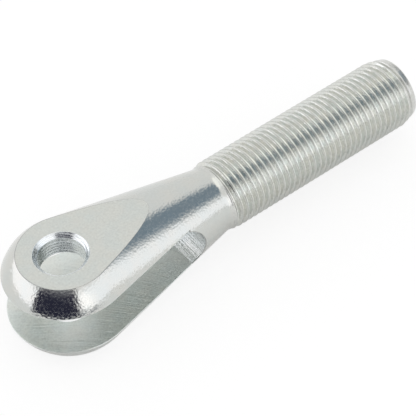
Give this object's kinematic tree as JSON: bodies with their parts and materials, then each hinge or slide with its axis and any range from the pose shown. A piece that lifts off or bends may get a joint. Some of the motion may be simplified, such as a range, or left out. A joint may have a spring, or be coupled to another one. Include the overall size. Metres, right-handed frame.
{
  "type": "clevis rod end",
  "caption": "Clevis rod end: a tapered fork with flat ears, a cross hole for a clevis pin and a slot for a tang, on a threaded shank that screws into a rod or turnbuckle.",
  "frame": {"origin": "on the pin hole's axis, midway between the two ears", "axes": "+X down the shank towards its threaded end, +Z along the pin hole, +Y across the ears, the way the slot is cut through"},
  "size_m": [0.1017, 0.0268, 0.021],
  "materials": {
    "zinc_plated_steel": "bright zinc plate over turned and milled steel: glossy on the ball and cone, satin on the flats"
  },
  "bodies": {
    "root": {"clevis_rod_end": "zinc_plated_steel"}
  },
  "joints": []
}
